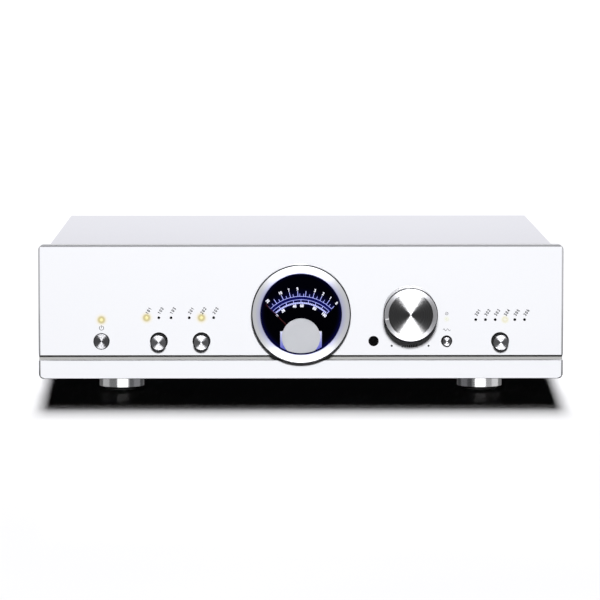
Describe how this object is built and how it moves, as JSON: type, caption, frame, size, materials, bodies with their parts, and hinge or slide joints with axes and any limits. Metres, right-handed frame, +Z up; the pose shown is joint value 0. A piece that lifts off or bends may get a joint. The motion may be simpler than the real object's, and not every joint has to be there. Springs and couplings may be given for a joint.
{
  "type": "tube preamplifier",
  "caption": "Low silver audio preamplifier with a round lit needle meter, a turned volume knob, push buttons, indicator lamps and turned feet.",
  "frame": {"origin": "on the surface it stands on, under the middle of its bounding box", "axes": "+Z up, the front panel faces -Y, +X to the right of someone in front of it"},
  "size_m": [0.43, 0.378, 0.1222],
  "materials": {
    "panel_silver": "bead-blasted and clear anodised, near white",
    "case_silver": "smooth satin silver paint",
    "turned_aluminium": "turned with fine concentric lines, clear anodised",
    "steel": "zinc plated",
    "screw_black": "blackened steel",
    "brass": "turned and plated",
    "black_plastic": "moulded, fine texture",
    "white_plastic": "moulded",
    "remote_eye": "moulded, infrared-clear black",
    "rubber": "moulded",
    "lens_glass": "clear float glass",
    "tube_glass": "blown glass",
    "dial_black": "matt black with a printed blue-white scale",
    "pivot_grey": "satin grey",
    "light_guide": "clear acrylic lit blue-white",
    "needle_red": "painted dark red",
    "lamp_lit": "amber light pipe, lit",
    "lamp_dark": "smoked light pipe, unlit",
    "board_green": "solder mask",
    "ceramic": "pressed and fired",
    "winding": "varnished wire under tape",
    "capacitor_sleeve": "shrunk sleeve",
    "wire_red": "extruded insulation"
  },
  "bodies": {
    "chassis": {"front_panel": "panel_silver", "left_side_panel": "case_silver", "right_side_panel": "case_silver", "rear_panel": "case_silver", "bottom_plate": "case_silver", "top_cover": "case_silver", "feet": "turned_aluminium", "meter_bezel": "turned_aluminium", "sub_panel": "steel", "corner_posts": "steel", "meter_can": "steel", "meter_movement": "steel", "tube_electrodes": "steel", "clamp_plate": "steel", "volume_motor": "steel", "case_screws": "screw_black", "panel_screws": "screw_black", "foot_screws": "screw_black", "bezel_screws": "screw_black", "clamp_bolt": "screw_black", "pot_nut": "brass", "board_spacers": "brass", "phono_jacks": "brass", "inlet_blades": "brass", "button_sleeves": "black_plastic", "power_switch": "black_plastic", "push_switches": "black_plastic", "remote_receiver": "black_plastic", "relays": "black_plastic", "mains_inlet": "black_plastic", "volume_pot": "black_plastic", "jack_insulators": "white_plastic", "remote_window": "remote_eye", "foot_pads": "rubber", "meter_lens": "lens_glass", "tube_bulbs": "tube_glass", "meter_dial": "dial_black", "meter_pivot_cover": "pivot_grey", "meter_light_guides": "light_guide", "lamps_lit": "lamp_lit", "lamps_dark": "lamp_dark", "control_boards": "board_green", "main_board": "board_green", "meter_lamp_board": "board_green", "tube_sockets": "ceramic", "transformer": "winding", "capacitors": "capacitor_sleeve", "wiring": "wire_red"},
    "volume": {"volume_knob": "turned_aluminium", "knob_grub_screw": "screw_black", "volume_shaft": "steel", "shaft_gear": "white_plastic"},
    "motor_drive": {"motor_pinion": "brass"},
    "needle": {"meter_needle": "needle_red"},
    "power_push": {"power_button": "turned_aluminium"},
    "left_select_push": {"left_select_button": "turned_aluminium"},
    "centre_select_push": {"centre_select_button": "turned_aluminium"},
    "input_push": {"input_button": "turned_aluminium"},
    "tone_push": {"tone_button": "turned_aluminium"},
    "fuse_carrier": {"fuse_drawer": "black_plastic"}
  },
  "joints": [
    {"name": "volume_turn", "type": "hinge", "parent": "chassis", "child": "volume", "pos_m": [0.089, -0.162, 0.0672], "axis": [0, 1, 0], "range_deg": [-50, 250]},
    {"name": "motor_turn", "type": "hinge", "parent": "chassis", "child": "motor_drive", "pos_m": [0.089, -0.162, 0.04792], "axis": [0, 1, 0], "range_deg": [-750, 150]},
    {"name": "needle_swing", "type": "hinge", "parent": "chassis", "child": "needle", "pos_m": [0, -0.162, 0.0447], "axis": [0, 1, 0], "range_deg": [0, 90], "stiffness_Nm_per_rad": 0.0001, "springref_deg": -17.19},
    {"name": "power_latch", "type": "slide", "parent": "chassis", "child": "power_push", "axis": [0, 1, 0], "range_m": [-0.003, 0.0008]},
    {"name": "left_select_press", "type": "slide", "parent": "chassis", "child": "left_select_push", "axis": [0, 1, 0], "range_m": [0, 0.0015], "stiffness_N_per_m": 400, "springref_m": -0.003},
    {"name": "centre_select_press", "type": "slide", "parent": "chassis", "child": "centre_select_push", "axis": [0, 1, 0], "range_m": [0, 0.0015], "stiffness_N_per_m": 400, "springref_m": -0.003},
    {"name": "input_press", "type": "slide", "parent": "chassis", "child": "input_push", "axis": [0, 1, 0], "range_m": [0, 0.0015], "stiffness_N_per_m": 400, "springref_m": -0.003},
    {"name": "tone_press", "type": "slide", "parent": "chassis", "child": "tone_push", "axis": [0, 1, 0], "range_m": [0, 0.0015], "stiffness_N_per_m": 400, "springref_m": -0.003},
    {"name": "fuse_slide", "type": "slide", "parent": "chassis", "child": "fuse_carrier", "axis": [0, 1, 0], "range_m": [0, 0.02]}
  ],
  "couplings": [
    {"joint": "motor_turn", "follows": "volume_turn", "ratio": -3}
  ]
}
